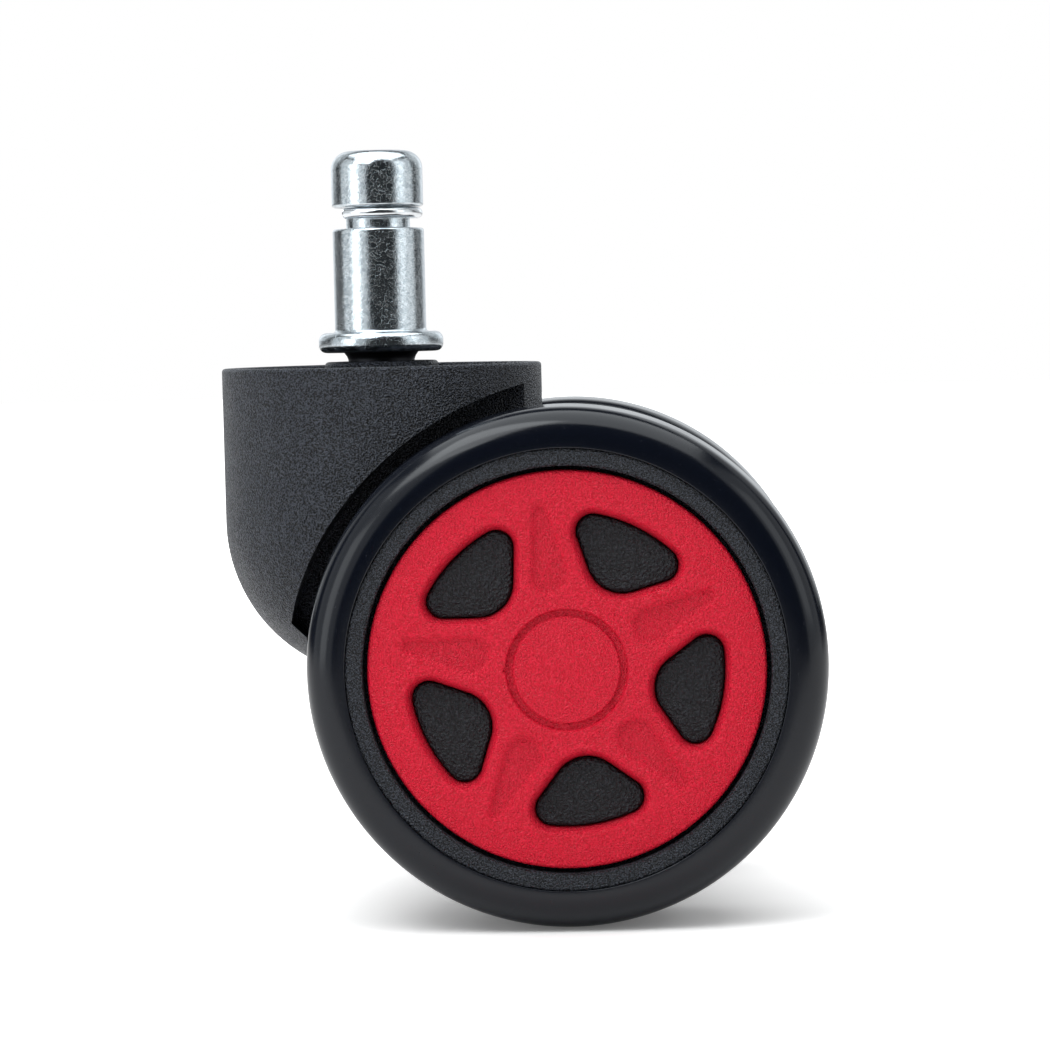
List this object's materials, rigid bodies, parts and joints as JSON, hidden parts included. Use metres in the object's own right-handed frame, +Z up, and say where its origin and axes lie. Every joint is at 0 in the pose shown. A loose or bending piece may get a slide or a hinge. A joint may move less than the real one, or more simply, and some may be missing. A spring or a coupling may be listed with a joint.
{
  "type": "swivel caster",
  "caption": "Twin-wheel chair caster: push-in grip stem, round hooded housing, soft black tyres and red five-window wheel covers.",
  "frame": {"origin": "on the stem's axis, in the plane of the stem flange's top face, where the chair's socket sits", "axes": "+Z up along the stem; +X from the stem towards the axle (the trailing side); +Y towards the right wheel, so the left wheel is at -Y"},
  "size_m": [0.0713, 0.0556, 0.0904],
  "materials": {
    "zinc_steel": "bright zinc plate with fine mottled grain",
    "spring_steel": "bright drawn spring steel",
    "plain_steel": "ground bright steel",
    "black_nylon": "moulded with a fine spark texture",
    "white_acetal": "smooth natural acetal",
    "black_polyurethane": "smooth glossy cast polyurethane",
    "red_plastic": "moulded with a fine satin texture"
  },
  "bodies": {
    "stem": {"stem": "zinc_steel", "stem_retaining_ring": "spring_steel"},
    "grip_ring": {"grip_ring": "spring_steel"},
    "housing": {"housing": "black_nylon", "swivel_sleeve": "zinc_steel", "thrust_disc": "white_acetal", "axle": "plain_steel", "left_axle_clip": "spring_steel", "right_axle_clip": "spring_steel", "left_spacer_washer": "white_acetal", "right_spacer_washer": "white_acetal"},
    "left_wheel": {"left_core": "black_nylon", "left_tyre": "black_polyurethane", "left_cover": "red_plastic", "left_bush": "white_acetal"},
    "right_wheel": {"right_core": "black_nylon", "right_tyre": "black_polyurethane", "right_cover": "red_plastic", "right_bush": "white_acetal"}
  },
  "joints": [
    {"name": "grip_ring_turn", "type": "hinge", "parent": "stem", "child": "grip_ring", "pos_m": [0, 0, 0.01423], "axis": [0, 0, 1], "continuous": true},
    {"name": "swivel", "type": "hinge", "parent": "stem", "child": "housing", "pos_m": [0, 0, 0], "axis": [0, 0, 1], "continuous": true},
    {"name": "left_wheel_spin", "type": "hinge", "parent": "housing", "child": "left_wheel", "pos_m": [0.0221, 0, -0.0387], "axis": [0, 1, 0], "continuous": true},
    {"name": "right_wheel_spin", "type": "hinge", "parent": "housing", "child": "right_wheel", "pos_m": [0.0221, 0, -0.0387], "axis": [0, 1, 0], "continuous": true}
  ]
}
